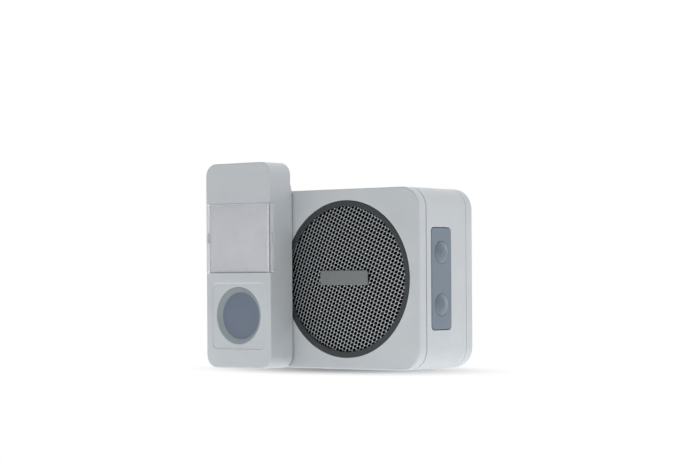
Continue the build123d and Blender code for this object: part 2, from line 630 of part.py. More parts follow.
over, under = cap_line(coil_near - 0.3), cap_line(coil_near)
cap_face = make_face(Curve() + [over, Line(over @ 1, under @ 1), under, Line(under @ 0, over @ 0)])
keep("dust_cap", Pos(0, 0, CHIME_MIDDLE) * revolve(cap_face, axis=Axis.Y), AT_CHIME)

# The surround: a flat rim on the basket, a half roll that rises forwards, and a flat rim beside the cone
roll_middle = (ROLL_OUTER + ROLL_INNER) / 2
roll_radius = (ROLL_OUTER - ROLL_INNER) / 2 - 0.8
roll_face = basket_face - RUBBER_THICK
arc = [radians(d) for d in range(0, 181, 20)]
roll = [(ROLL_INNER + GLUE_GAP, basket_face), (ROLL_INNER + GLUE_GAP, roll_face)]
roll += [(roll_middle - roll_radius * cos(a), roll_face - roll_radius * sin(a)) for a in arc]
roll += [(roll_rim - GLUE_GAP, roll_face), (roll_rim - GLUE_GAP, basket_face)]
under_radius = roll_radius - RUBBER_THICK
roll += [(roll_middle + under_radius * cos(a), basket_face - under_radius * sin(a)) for a in arc]
keep("speaker_surround", turned(roll, 0, CHIME_MIDDLE), AT_CHIME)
keep("speaker_spider", tube(BASKET_NECK - GLUE_GAP, coil_outer + GLUE_GAP, ledge - SPIDER_THICK, ledge,
                            z=CHIME_MIDDLE), AT_CHIME)

# Rear cover with screw wells, battery tray and keyhole
rear_near = FRONT_DEPTH + MIDDLE_DEPTH
cells_x = [CELL_PITCH * (k - (CELL_COUNT - 1) / 2) for k in range(CELL_COUNT)]
tray_half = cells_x[-1] + CELL_RADIUS + CELL_PLAY
tray_height = CELL_LENGTH + 2 * CONTACT_THICK + SPRING_LENGTH
tray_low, tray_high = TRAY_MIDDLE - tray_height / 2, TRAY_MIDDLE + tray_height / 2
cell_depth = REAR_FACE - CELL_PLAY - CELL_RADIUS
tray_face = cell_depth - CELL_RADIUS - CELL_PLAY
door_half, door_low, door_high = tray_half + DOOR_SEAT, tray_low - DOOR_SEAT, tray_high + DOOR_SEAT
rear_cover = slab(outside, rear_near, CHIME_DEPTH)
rear_cover = fillet(rim_edges(rear_cover, CHIME_DEPTH), REAR_ROUND)
rear_cover -= slab(inset(CHIME_WALL), rear_near, REAR_FACE)
rear_cover -= slab(inset(lip), rear_near, rear_near + LAP)
rear_cover = fillet(rim_edges(rear_cover, rear_near), SEAM_ROUND)
for x, z in POSTS:
    rear_cover += slab(disc(WELL_RADIUS, x, z), POST_END, REAR_FACE + 0.5 * CHIME_WALL)
    rear_cover -= slab(disc(WELL_BORE, x, z), POST_END + WELL_FLOOR, CHIME_DEPTH)
    rear_cover -= slab(disc(CASE_SCREW_RADIUS + SCREW_PLAY, x, z), POST_END, POST_END + WELL_FLOOR)
tray_shell = block(-tray_half - TRAY_WALL, tray_half + TRAY_WALL, tray_face - TRAY_FLOOR, REAR_FACE + 0.3,
                   tray_low - TRAY_WALL, tray_high + TRAY_WALL)
rear_cover += tray_shell
rear_cover -= block(-tray_half, tray_half, tray_face, REAR_FACE, tray_low, tray_high)
door_middle = (door_low + door_high) / 2
rear_cover -= slab(rounded(2 * (door_half + DOOR_PLAY), door_high - door_low + 2 * DOOR_PLAY,
                           DOOR_CORNER + DOOR_PLAY, z=door_middle), REAR_FACE, CHIME_DEPTH)

# Two hooks at the door's lower edge reach behind the rear wall, each in its own slot of the tray's lower wall
hooks_x = [-CELL_PITCH / 2, CELL_PITCH / 2]
hook_far = REAR_FACE - HOOK_DROP
hook_near = hook_far - HOOK_THICK
hook_swing = sqrt((CHIME_DEPTH - hook_near) ** 2 + HOOK_REACH ** 2)
for x in hooks_x:
    rear_cover -= block(x - HOOK_WIDTH / 2 - 0.3, x + HOOK_WIDTH / 2 + 0.3, CHIME_DEPTH - hook_swing - 0.3,
                        REAR_FACE, door_low - HOOK_REACH - 0.3, tray_low + 0.01)
round_hole = disc(KEYHOLE_RADIUS, 0, KEYHOLE_LOW)
slot_top = KEYHOLE_LOW + KEYHOLE_RISE
slot = Pos(0, (KEYHOLE_LOW + slot_top) / 2) * Rectangle(KEYHOLE_SLOT, KEYHOLE_RISE)
rear_cover -= slab(round_hole + slot + disc(KEYHOLE_SLOT / 2, 0, slot_top), REAR_FACE, CHIME_DEPTH)
keep("rear_cover", rear_cover, AT_CHIME)

case_screws = [screw(POST_END + WELL_FLOOR, POST_END - CASE_SCREW_LENGTH + 1.5, CASE_SCREW_RADIUS - 0.01,
                     CASE_SCREW_HEAD, 1.8, x, z) for x, z in POSTS]
keep("case_screws", Part() + case_screws, AT_CHIME)

door = slab(rounded(2 * door_half, door_high - door_low, DOOR_CORNER, z=door_middle), REAR_FACE, CHIME_DEPTH)
for x in hooks_x:
    left, right, top = x - HOOK_WIDTH / 2, x + HOOK_WIDTH / 2, tray_low + 0.6
    door += block(left, right, hook_near, REAR_FACE, door_low + 0.4, top)
    door += block(left, right, hook_near, hook_far, door_low - HOOK_REACH, top)
door += block(-TONGUE_WIDTH / 2, TONGUE_WIDTH / 2, REAR_FACE - TONGUE_LENGTH, REAR_FACE,
              tray_high - TONGUE_PLAY - TONGUE_THICK, tray_high - TONGUE_PLAY)
for k in range(GRIP_RIBS):
    z = door_high - 6 - k * GRIP_PITCH
    door -= block(-7, 7, CHIME_DEPTH - GRIP_DEPTH, CHIME_DEPTH, z - 0.5, z + 0.5)
keep("battery_door", door, AT_CHIME)

# Cells turn end for end; plates join them in a row at the top and bottom, springs press on their flat ends
body_length = CELL_LENGTH - CELL_NUB
cells, springs, plates = [], [], []
low_end, high_end = tray_low + CONTACT_THICK, tray_high - CONTACT_THICK


def coil_spring(x, low, high):
    """A coil spring on a vertical axis, as one unbroken wire: half turns that climb, joined end to end."""
    helix = Helix(pitch=(high - low - 2 * SPRING_WIRE) / SPRING_TURNS, height=high - low - 2 * SPRING_WIRE,
                  radius=SPRING_RADIUS)
    start = helix @ 0
    wire = sweep(Plane(origin=start, z_dir=helix % 0) * Circle(SPRING_WIRE), path=helix)
    return Pos(x, cell_depth, low + SPRING_WIRE) * wire


for k, x in enumerate(cells_x):
    plus_up = k % 2 == 0
    low = low_end + (SPRING_LENGTH if plus_up else 0)
    shell_low, nub_low = (low, low + body_length) if plus_up else (low + CELL_NUB, low)
    shell = Pos(x, cell_depth, shell_low + body_length / 2) * Cylinder(CELL_RADIUS, body_length)
    nub = Pos(x, cell_depth, nub_low + CELL_NUB / 2) * Cylinder(CELL_NUB_RADIUS, CELL_NUB)
    cells.append(shell + nub)
    spring_low = low_end if plus_up else high_end - SPRING_LENGTH
    springs.append(coil_spring(x, spring_low + 0.02, spring_low + SPRING_LENGTH - 0.02))
keep("battery_cells", Part() + cells, AT_CHIME)
keep("contact_springs", Part() + springs, AT_CHIME)
near, far = cell_depth - CONTACT_DEPTH / 2, cell_depth + CONTACT_DEPTH / 2
half = CONTACT_WIDTH / 2
for low, spans in ((high_end, [(cells_x[0], cells_x[1]), (cells_x[2], cells_x[2])]),
                   (tray_low, [(cells_x[0], cells_x[0]), (cells_x[1], cells_x[2])])):
    plates += [block(a - half, b + half, near, far, low, low + CONTACT_THICK) for a, b in spans]
keep("contact_plates", Part() + plates, AT_CHIME)

# Bell push. The case is a shell that is open at the back
push_middle = PUSH_HEIGHT / 2
push_side = PUSH_WIDTH / 2
cavity_half = push_side - PUSH_WALL
shelf = WINDOW_THICK + CARD_THICK + 0.05
notch = WINDOW_CHEEK + CARD_PLAY
push_case = slab(rounded(PUSH_WIDTH, PUSH_HEIGHT, PUSH_CORNER, z=push_middle), 0, PUSH_DEPTH)
push_case = fillet(rim_edges(push_case, 0), PUSH_ROUND)
cavity = slab(rounded(2 * cavity_half, PUSH_HEIGHT - 2 * PUSH_WALL, PUSH_CORNER - PUSH_WALL, z=push_middle),
              PUSH_FRONT_WALL, PUSH_DEPTH)
# Under the window the front wall steps back, and the side walls step in beside the window's cheeks
step = block(-push_side, push_side, 0, shelf + SHELF_WALL, WINDOW_LOW - SHELF_WALL, WINDOW_HIGH + SHELF_WALL)
for s in (-1, 1):
    step += Pos(s * (push_side - (notch + SHELF_WALL) / 2), (WINDOW_DEPTH + SHELF_WALL) / 2,
                (WINDOW_LOW + WINDOW_HIGH) / 2) * Box(notch + SHELF_WALL, WINDOW_DEPTH + SHELF_WALL,
                                                     WINDOW_HIGH - WINDOW_LOW + 2 * SHELF_WALL)
push_case -= cavity - step
push_case -= block(-push_side - 1, push_side + 1, -1, shelf, WINDOW_LOW, WINDOW_HIGH)
catch_inner = push_side - notch
for s in (-1, 1):
    middle_x = s * (push_side - notch / 2 + 0.5)
    push_case -= Pos(middle_x, (WINDOW_DEPTH + 0.1) / 2, (WINDOW_LOW + WINDOW_HIGH) / 2) * Box(
        notch + 1, WINDOW_DEPTH + 0.1, WINDOW_HIGH - WINDOW_LOW)
    catch_x = s * (catch_inner + (WINDOW_CHEEK - 0.1) / 2)
    push_case += Pos(catch_x, (CATCH_START + WINDOW_DEPTH + 0.1) / 2, (CATCH_LOW + CATCH_HIGH) / 2) * Box(
        WINDOW_CHEEK - 0.1, WINDOW_DEPTH + 0.1 - CATCH_START, CATCH_HIGH - CATCH_LOW - 0.3)

# Square pad: sunk a little, with a draft all round, longer at its top, and the round hole for the button
pad_floor_high, pad_floor_low = PAD_HIGH - PAD_SLOPE, PAD_LOW + PAD_DRAFT
pad_mouth = rounded(PAD_WIDTH, PAD_HIGH - PAD_LOW, PAD_CORNER, z=(PAD_LOW + PAD_HIGH) / 2)
pad_floor = rounded(PAD_WIDTH - 2 * PAD_DRAFT, pad_floor_high - pad_floor_low, PAD_CORNER - PAD_DRAFT,
                    z=(pad_floor_low + pad_floor_high) / 2)
facing = Plane(origin=(0, 0, 0), x_dir=(1, 0, 0), z_dir=(0, -1, 0))
pad = loft([facing * pad_mouth, Pos(0, PAD_SINK, 0) * (facing * pad_floor)], ruled=True)
push_case -= pad
push_case -= slab(disc(DISH_RADIUS + BUTTON_PLAY, z=BUTTON_MIDDLE), -1, PUSH_FRONT_WALL + 1)

# Stack behind the button: seal, flange, stem, switch and board
button_flange = PUSH_FRONT_WALL + SEAL_THICK + KEY_REST_GAP
button_back = button_flange + KEY_FLANGE_THICK
push_tip = button_back + BUTTON_STEM_LENGTH
push_board_face = push_tip + PLUNGER_PROUD + SWITCH_HEIGHT
push_board_back = push_board_face + BOARD_THICK
push_board_low = PUSH_WALL + PUSH_BOARD_INSET
push_board_high = PUSH_HEIGHT - push_board_low
push_posts = [(sx * PUSH_POST_X, z) for sx in (-1, 1)
              for z in (push_board_low + PUSH_POST_INSET, push_board_high - PUSH_POST_INSET)]
for x, z in push_posts:
    push_case += slab(disc(PUSH_POST_RADIUS, x, z), 0.5 * PUSH_FRONT_WALL, push_board_face)
    push_case -= slab(disc(BOARD_SCREW_RADIUS, x, z), push_board_face - 5, push_board_face)
keep("push_case", push_case, AT_PUSH)

flange_edge = DISH_RADIUS + BUTTON_FLANGE
button = turned([(0, PAD_SINK + DISH_SINK), (DISC_RADIUS, PAD_SINK + DISH_SINK),
                 (DISH_RADIUS - DISH_RIM, PAD_SINK), (DISH_RADIUS, PAD_SINK), (DISH_RADIUS, button_flange),
                 (flange_edge, button_flange), (flange_edge, button_back), (BUTTON_STEM, button_back),
                 (BUTTON_STEM, push_tip), (0, push_tip)], 0, BUTTON_MIDDLE)
button = fillet(round_edges(button, DISC_RADIUS, PAD_SINK + DISH_SINK), DISH_SOFT)
button = fillet(round_edges(button, DISH_RADIUS - DISH_RIM, PAD_SINK), DISH_EDGE_ROUND)
keep("push_button", button, AT_PUSH)
keep("button_seal", tube(flange_edge, DISH_RADIUS + BUTTON_PLAY, PUSH_FRONT_WALL,
                         PUSH_FRONT_WALL + SEAL_THICK, z=BUTTON_MIDDLE), AT_PUSH)
push_switch_foot = push_board_face - SWITCH_HEIGHT
push_switch = slab(Pos(0, BUTTON_MIDDLE) * Rectangle(SWITCH_SIDE, SWITCH_SIDE), push_switch_foot,
                   push_board_face)
push_switch -= slab(disc(PLUNGER_RADIUS + PLUNGER_PLAY, z=BUTTON_MIDDLE), push_switch_foot,
                    push_switch_foot + PLUNGER_SUNK + BUTTON_TRAVEL + 0.3)
keep("push_switch", push_switch, AT_PUSH)
push_plunger = slab(disc(PLUNGER_RADIUS, z=BUTTON_MIDDLE), push_tip, push_switch_foot + PLUNGER_SUNK)
keep("push_plunger", push_plunger, AT_PUSH)

push_board = slab(rounded(PUSH_BOARD_WIDTH, push_board_high - push_board_low, 1.5, z=push_middle),
                  push_board_face, push_board_back)
for x, z in push_posts:
    push_board -= slab(disc(BOARD_SCREW_RADIUS + SCREW_PLAY, x, z), push_board_face, push_board_back)
keep("push_board", push_board, AT_PUSH)
push_screws = [screw(push_board_back, push_board_back - BOARD_SCREW_LENGTH, BOARD_SCREW_RADIUS - 0.01,
                     BOARD_SCREW_HEAD, BOARD_SCREW_HEAD_HEIGHT, x, z) for x, z in push_posts]
keep("push_board_screws", Part() + push_screws, AT_PUSH)
push_chip = Rectangle(PUSH_CHIP_WIDTH, PUSH_CHIP_HEIGHT)
push_chip = Pos(-PUSH_CHIP_SIDE, BUTTON_MIDDLE + PUSH_CHIP_RISE) * push_chip
keep("push_chip", slab(push_chip, push_board_back, push_board_back + PUSH_CHIP_THICK), AT_PUSH)

# Coin cell on the back of the board, under a bent metal clip
coin_near = push_board_back + COIN_LIFT
coin_far = coin_near + COIN_THICK
wire_high = push_board_high - PUSH_AERIAL_FROM_END
clip_half = CLIP_METAL_WIDTH / 2
clip_end = COIN_RADIUS + 0.3 + CLIP_METAL
coin_middle = wire_high - AERIAL_WIRE - CLIP_TO_AERIAL - CLIP_FOOT - clip_end
keep("coin_cell", slab(disc(COIN_RADIUS, z=coin_middle), coin_near, coin_far), AT_PUSH)
cell_clip = block(-clip_half, clip_half, coin_far, coin_far + CLIP_METAL, coin_middle - clip_end,
                  coin_middle + clip_end)
for s in (-1, 1):
    leg = coin_middle + s * (clip_end - CLIP_METAL / 2)
    foot = coin_middle + s * (clip_end + CLIP_FOOT / 2)
    cell_clip += block(-clip_half, clip_half, push_board_back, coin_far + CLIP_METAL, leg - CLIP_METAL / 2,
                       leg + CLIP_METAL / 2)
    cell_clip += block(-clip_half, clip_half, push_board_back, push_board_back + CLIP_METAL,
                       foot - CLIP_FOOT / 2, foot + CLIP_FOOT / 2)
keep("cell_clip", cell_clip, AT_PUSH)
wire_far = push_board_back + PUSH_AERIAL_HEIGHT
half = PUSH_AERIAL_WIDTH / 2
push_aerial = bent_wire([(-half, push_board_back, wire_high), (-half, wire_far, wire_high),
                         (half, wire_far, wire_high), (half, push_board_back, wire_high)], AERIAL_WIRE,
                        AERIAL_BEND)
keep("push_aerial", push_aerial, AT_PUSH)

# Clear window: a plate with a cheek down each side, each cut away for its catch; the card lies under it
window_low, window_high = WINDOW_LOW + WINDOW_PLAY, WINDOW_HIGH - WINDOW_PLAY
window_tall = window_high - window_low
cheek = push_side - WINDOW_CHEEK
window_outline = make_face(Polyline((-push_side, WINDOW_DEPTH), (-push_side, 0), (push_side, 0),
                                    (push_side, WINDOW_DEPTH), (cheek, WINDOW_DEPTH), (cheek, WINDOW_THICK),
                                    (-cheek, WINDOW_THICK), (-cheek, WINDOW_DEPTH), close=True))
name_window = Pos(0, 0, window_low) * extrude(window_outline, amount=window_tall, dir=(0, 0, 1))
front_edges = [e for e in name_window.edges() if abs(e.center().Y) < 1e-4]
name_window = fillet([e for e in front_edges if abs(abs(e.center().X) - push_side) < 1e-4], PUSH_ROUND)
for s in (-1, 1):
    name_window -= Pos(s * push_side, (CATCH_START - CARD_PLAY + WINDOW_DEPTH) / 2 + 0.5,
                       (CATCH_LOW + CATCH_HIGH) / 2) * Box(
        2 * WINDOW_CHEEK + 0.2, WINDOW_DEPTH - CATCH_START + CARD_PLAY + 1, CATCH_HIGH - CATCH_LOW)
keep("name_window", name_window, AT_PUSH)
card_half = push_side - notch - CARD_PLAY
card = block(-card_half, card_half, shelf - CARD_THICK, shelf, WINDOW_LOW + 0.4, WINDOW_HIGH - 0.4)
keep("label_card", card, AT_PUSH)

# Back plate: the inner part fills the case's opening, and the lip behind it stops short of the top
inner_half = cavity_half - PLATE_PLAY
plate_near = PUSH_DEPTH - PLATE_INNER
plate_inset = PUSH_WALL + PLATE_PLAY
plate = slab(rounded(2 * inner_half, PUSH_HEIGHT - 2 * plate_inset, PUSH_CORNER - plate_inset, z=push_middle),
             plate_near, PUSH_DEPTH)
lip_outline = rounded(PUSH_WIDTH, PUSH_HEIGHT, PUSH_CORNER, z=push_middle)
lip_outline &= Pos(0, (PLATE_LOW + PLATE_HIGH) / 2) * Rectangle(PUSH_WIDTH, PLATE_HIGH - PLATE_LOW)
plate_lip = slab(lip_outline, PUSH_DEPTH, PUSH_TOTAL)
slope = make_face(Polyline((PUSH_DEPTH, PLATE_HIGH), (PUSH_TOTAL + 1, PLATE_HIGH + 1),
                           (PUSH_TOTAL + 1, PLATE_HIGH - PLATE_SLOPE * (1 + 1 / PLATE_LIP)), close=True))
plate_lip -= side_slab(slope, -push_side - 1, push_side + 1)
plate += plate_lip
for z in (PLATE_HOLE_LOW, PLATE_HOLE_LOW + PLATE_HOLE_SPACING):
    plate -= slab(disc(PLATE_HOLE, z=z), plate_near, PUSH_TOTAL)
    plate -= slab(disc(PLATE_HOLE_HEAD, z=z), plate_near, plate_near + PLATE_HOLE_SINK)
for s in (-1, 1):
    for z in (CLIP_FROM_END, PUSH_HEIGHT - CLIP_FROM_END):
        clip_x = s * (inner_half - CLIP_THICK / 2)
        plate += Pos(clip_x, plate_near - CLIP_LENGTH / 2, z) * Box(CLIP_THICK, CLIP_LENGTH, CLIP_WIDTH)
keep("push_back_plate", plate, AT_PUSH)
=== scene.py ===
# %% [markdown]
# # A wireless doorbell, dressed for its portrait
#
# The solid model of the doorbell comes first. It is loaded as a fixed frame: a square battery chime with a round
# grille, and the slim bell push that stands in front of its left edge. Every shell, key and screw is already in its
# place, in metres, with the origin in the middle of the chime's base, X to the right, Y to the back and Z up.
#
# What is left to do is what a moulded solid can't show: the fine metal mesh of the grille, and the look of each
# material in a soft white light.

# %% Load the solid model
import json

import bpy
from math import cos, pi, radians, sin
from mathutils import Euler, Matrix, Vector


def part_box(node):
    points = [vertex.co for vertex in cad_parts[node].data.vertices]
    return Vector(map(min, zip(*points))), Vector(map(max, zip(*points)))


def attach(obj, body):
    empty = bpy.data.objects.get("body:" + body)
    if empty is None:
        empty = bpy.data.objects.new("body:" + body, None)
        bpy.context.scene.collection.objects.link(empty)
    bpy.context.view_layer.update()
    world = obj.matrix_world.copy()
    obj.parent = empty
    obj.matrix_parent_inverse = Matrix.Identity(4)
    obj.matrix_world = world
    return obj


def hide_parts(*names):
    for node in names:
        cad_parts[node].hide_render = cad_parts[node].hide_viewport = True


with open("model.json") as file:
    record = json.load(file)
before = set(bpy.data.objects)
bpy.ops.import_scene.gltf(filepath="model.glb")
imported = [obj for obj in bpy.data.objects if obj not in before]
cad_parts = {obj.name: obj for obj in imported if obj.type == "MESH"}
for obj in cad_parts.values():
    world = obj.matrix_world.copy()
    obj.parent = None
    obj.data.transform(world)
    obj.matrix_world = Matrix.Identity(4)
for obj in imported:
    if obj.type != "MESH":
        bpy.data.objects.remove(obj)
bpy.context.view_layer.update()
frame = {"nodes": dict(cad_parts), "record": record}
nodes = frame["nodes"]

# %% [markdown]
# ## Short words for sizes and colours
#
# The model is in metres but a doorbell is thought of in millimetres, so one name turns one into the other. Colours are
# written as the hex codes that a painter's chart would give, and one function turns them into the linear light values
# that the renderer adds up.

# %% Sizes and colours
MM = 0.001


def colour(code):
    """A hex colour such as C6CBCE as linear red, green, blue and alpha."""
    parts = [int(code[i:i + 2], 16) / 255 for i in (0, 2, 4)]
    return tuple(p / 12.92 if p <= 0.04045 else ((p + 0.055) / 1.055) ** 2.4 for p in parts) + (1.0,)


WHITE = colour("FFFFFF")
print("light grey as linear light:", [round(c, 3) for c in colour("C6CBCE")])

# %% [markdown]
# ## The camera
#
# The doorbell was photographed from its right front with a long lens, at the height of the chime's middle, almost
# level. A long lens far away keeps the upright edges nearly parallel. The picture window sits a little above the
# lens's axis, which is what the small vertical shift says: the units stand low in the frame, on plenty of white.
#
# The lens and the sensor's width are in millimetres, the shifts are shares of that width, and the place is in metres.

# %% Camera
LENS = 101.69
SENSOR_WIDTH = 36
SHIFT_RIGHT = 0.0069
SHIFT_UP = 0.0784
VIEW_FROM = (0.55681, -0.75383, 0.04311)
VIEW_TURN = radians(37.415)
VIEW_DIP = radians(0.203)
VIEW_ROLL = radians(-0.367)

camera_data = bpy.data.cameras.new("camera")
camera_data.sensor_width = SENSOR_WIDTH
camera_data.lens = LENS
camera_data.shift_x = SHIFT_RIGHT
camera_data.shift_y = SHIFT_UP
camera = bpy.data.objects.new("camera", camera_data)
bpy.context.scene.collection.objects.link(camera)
aim = Euler((pi / 2 - VIEW_DIP, 0, VIEW_TURN)).to_matrix() @ Matrix.Rotation(VIEW_ROLL, 3, "Z")
camera.matrix_world = Matrix.Translation(VIEW_FROM) @ aim.to_4x4()
bpy.context.scene.camera = camera
print("camera stands", round(camera.location.length, 2), "m from the chime")

# %% [markdown]
# ## Materials are small graphs
#
# Every material here is a shader fed by a few nodes. One function adds a node, sets what it can be set to, and fills
# its inputs: a number or colour goes straight in, and an output of another node is linked.


# %% Adding a node
def add(graph, kind, inputs=None, **settings):
    """Adds a node. Inputs go by name or number; an output socket is linked, anything else is a value."""
    node = graph.nodes.new(kind)
    for name, value in settings.items():
        setattr(node, name, value)
    for name, value in (inputs or {}).items():
        socket = node.inputs[name]
        if isinstance(value, bpy.types.NodeSocket):
            graph.links.new(value, socket)
        else:
            socket.default_value = value
    return node


def start_material(name):
    """An empty material, its graph, and the place on the object that is being shaded."""
    material = bpy.data.materials.new(name)
    material.use_nodes = True
    graph = material.node_tree
    graph.nodes.clear()
    return material, graph, add(graph, "ShaderNodeTexCoord").outputs["Object"]


def finish_material(graph, shader):
    """Ends a graph in the material's output."""
    add(graph, "ShaderNodeOutputMaterial", {"Surface": shader})


# %% [markdown]
# A handful of steps comes back in nearly every graph, so each has a word of its own. A ramp turns a value into
# another, a distance tells how far a place is from a middle, a blend lies between two colours, and a mix between two
# shaders. Noise is the source of all that is uneven: it mottles a colour, varies a gloss, and raises a relief.
#
# Blender's noise stays mostly between 0.3 and 0.7, so it is that stretch that the mottling uses.

# %% Words for the steps
NOISE_LOW = 0.3
NOISE_HIGH = 0.7


def maths(graph, operation, *values):
    """One sum, product or other operation on numbers."""
    return add(graph, "ShaderNodeMath", dict(enumerate(values)), operation=operation).outputs[0]


def ramp(graph, value, start, end, first=0.0, last=1.0, curve="LINEAR"):
    """Goes from first to last as a value goes from start to end, which may be the smaller, and stays level outside."""
    if start > end:
        start, end, first, last = end, start, last, first
    return add(graph, "ShaderNodeMapRange", {"Value": value, "From Min": start, "From Max": end, "To Min": first,
                                             "To Max": last}, interpolation_type=curve).outputs[0]


def distance(graph, where, middle=(0, 0, 0), weights=(1, 1, 1)):
    """How far a place is from a middle. A weight of 0 leaves a direction out."""
    away = add(graph, "ShaderNodeVectorMath", {0: where, 1: middle}, operation="SUBTRACT").outputs[0]
    away = add(graph, "ShaderNodeVectorMath", {0: away, 1: weights}, operation="MULTIPLY").outputs[0]
    return add(graph, "ShaderNodeVectorMath", {0: away}, operation="LENGTH").outputs["Value"]


def blend(graph, factor, first, second):
    """A colour between two others."""
    return add(graph, "ShaderNodeMix", {"Factor": factor, 6: first, 7: second}, data_type="RGBA").outputs[2]


def mix(graph, factor, first, second):
    """A shader between two others."""
    return add(graph, "ShaderNodeMixShader", {0: factor, 1: first, 2: second}).outputs[0]


def noise(graph, where, size_mm, detail, rough=0.5):
    """Noise from 0 to 1, in patches of about the given size."""
    return add(graph, "ShaderNodeTexNoise", {"Vector": where, "Scale": 1 / (size_mm * MM), "Detail": detail,
                                             "Roughness": rough}).outputs["Fac"]


def mottle(graph, patches, base, uneven):
    """A colour made darker and paler by a small share, in patches."""
    shade = ramp(graph, patches, NOISE_LOW, NOISE_HIGH, 1 - uneven, 1 + uneven)
    return add(graph, "ShaderNodeVectorMath", {0: base, "Scale": shade}, operation="SCALE").outputs[0]


def relief(graph, height, strength, depth_mm=0.02):
    """A surface roughened by a height."""
    return add(graph, "ShaderNodeBump", {"Height": height, "Strength": strength,
                                         "Distance": depth_mm * MM}).outputs[0]


def principled(graph, **inputs):
    """The Principled shader, with its inputs' names in small letters and underscores."""
    named = {name.replace("_", " ").title().replace("Ior", "IOR"): value for name, value in inputs.items()}
    return add(graph, "ShaderNodeBsdfPrincipled", named).outputs[0]


print("a noise patch of 1 mm is a noise scale of", 1 / MM)

# %% [markdown]
# ## A white studio
#
# The photograph is a cut-out look: pure white behind and below, and only a soft shadow where the units stand. Its light
# is that of a small product tent. The ceiling and the table are bright, so the round edges that face up or down are the
# palest; the backdrop is bright too, and the side where the photographer stands is dim. That is why the front faces
# are a little darker than the key side, and why the domed keys have a dark front flank and a pale rear one.
#
# The world's light therefore grows from the horizon to the zenith, and from the front to the back, and falls a little
# from left to right. What a glossy face mirrors is the backdrop alone, which grows from the front to the back more
# steeply. Where the lens looks, it is plain white.

# %% The tent
HORIZON, ZENITH = 0.44, 1.3
FRONT_SIDE, BACK_SIDE = 0.6, 1.25
LEFT_SIDE, RIGHT_SIDE = 1.12, 0.82
MIRRORED_NEAR, MIRRORED_FAR = 0.5, 1.6
MIRRORED_FROM, MIRRORED_TO = 0.3, 0.95

world = bpy.data.worlds.new("product_tent")
bpy.context.scene.world = world
world.use_nodes = True
sky = world.node_tree
sky.nodes.clear()
ray = add(sky, "ShaderNodeLightPath")
towards = add(sky, "ShaderNodeSeparateXYZ", {0: add(sky, "ShaderNodeTexCoord").outputs["Generated"]})
height = ramp(sky, towards.outputs["Z"], 0.0, 1.0, HORIZON, ZENITH)
depth = ramp(sky, towards.outputs["Y"], -1.0, 1.0, FRONT_SIDE, BACK_SIDE)
breadth = ramp(sky, towards.outputs["X"], -1.0, 1.0, LEFT_SIDE, RIGHT_SIDE)
tent = maths(sky, "MULTIPLY", maths(sky, "MULTIPLY", height, depth), breadth)
backdrop = ramp(sky, towards.outputs["Y"], MIRRORED_FROM, MIRRORED_TO, MIRRORED_NEAR, MIRRORED_FAR)
unseen = ramp(sky, ray.outputs["Is Glossy Ray"], 0.0, 1.0, tent, backdrop)
looked_at = maths(sky, "MAXIMUM", ray.outputs["Is Camera Ray"], ray.outputs["Is Transmission Ray"])
strength = ramp(sky, looked_at, 0.0, 1.0, unseen, 1.0)
shine = add(sky, "ShaderNodeBackground", {"Color": WHITE, "Strength": strength})
add(sky, "ShaderNodeOutputWorld", {"Surface": shine.outputs[0]})
print("tent:", HORIZON, "at the horizon,", ZENITH, "overhead")

# %% [markdown]
# The table is a matt white sheet with a light under it, as a light table has: it glows where the units stand, which
# fills their undersides and makes their feet paler than their tops. The lens is spared that glow, and sees the sheet
# painted a darker grey than the light does. That deepens the lit shadow on it, so it is a painted shadow. A few
# centimetres away the table melts into the white of the backdrop, in an oval that is longer from left to right, and
# that oval is the outline of the painted shadow.

# %% Table
TABLE_SIZE = 6
SHEET_PATCHES = 60.0
SHEET_WHITE = (0.86, 0.88)
SHEET_SEEN_PAINTED_SHADOW = 0.6
GLOW = 0.62
GLOW_FAR = 0.22
GLOW_FROM = 0.06
GLOW_TO = 0.26
MELT_MIDDLE = (0.002, -0.024, 0)
MELT_SHAPE = (0.65, 1, 1)
MELT_FROM = 0.008
MELT_TO = 0.06

bpy.ops.object.select_all(action="DESELECT")
bpy.ops.mesh.primitive_plane_add(size=TABLE_SIZE, location=(0, 0, 0))
table = bpy.context.object
table.name = "table"
table_white, graph, where = start_material("matt_white_light_table")
seen = add(graph, "ShaderNodeLightPath").outputs["Is Camera Ray"]
grain = add(graph, "ShaderNodeTexNoise", {"Vector": where, "Scale": SHEET_PATCHES}).outputs["Fac"]
# painted shadow: the lens sees the sheet darker than the light does
tone = ramp(graph, seen, 0.0, 1.0, ramp(graph, grain, 0.0, 1.0, *SHEET_WHITE), SHEET_SEEN_PAINTED_SHADOW)
grey = add(graph, "ShaderNodeCombineColor", {0: tone, 1: tone, 2: tone})
matt = add(graph, "ShaderNodeBsdfDiffuse", {"Color": grey.outputs[0]})
spot = ramp(graph, distance(graph, where), GLOW_FROM, GLOW_TO, GLOW, GLOW_FAR, "SMOOTHSTEP")
glow = add(graph, "ShaderNodeEmission", {"Color": WHITE, "Strength": ramp(graph, seen, 0.0, 1.0, spot, 0.0)})
lit = add(graph, "ShaderNodeAddShader", {0: matt.outputs[0], 1: glow.outputs[0]})
# the oval where the painted shadow shows, with white beyond it
melt = ramp(graph, distance(graph, where, MELT_MIDDLE, MELT_SHAPE), MELT_FROM, MELT_TO, curve="SMOOTHSTEP")
white = add(graph, "ShaderNodeEmission", {"Color": WHITE, "Strength": 1.0})
finish_material(graph, mix(graph, maths(graph, "MULTIPLY", melt, seen), lit.outputs[0], white.outputs[0]))
table.data.materials.append(table_white)
print("table glows by", GLOW)

# %% [markdown]
# One soft lamp stands behind the right shoulder of the chime. It models the keys and draws a pale line along the edges
# that face it.

# %% Lamp
LAMP_SIZE = 0.7
LAMP_WATTS = 0.3
LAMP_PLACE = (0.75, 0.55, 0.45)
LAMP_AIMS_AT = (0, 0, 0.04)

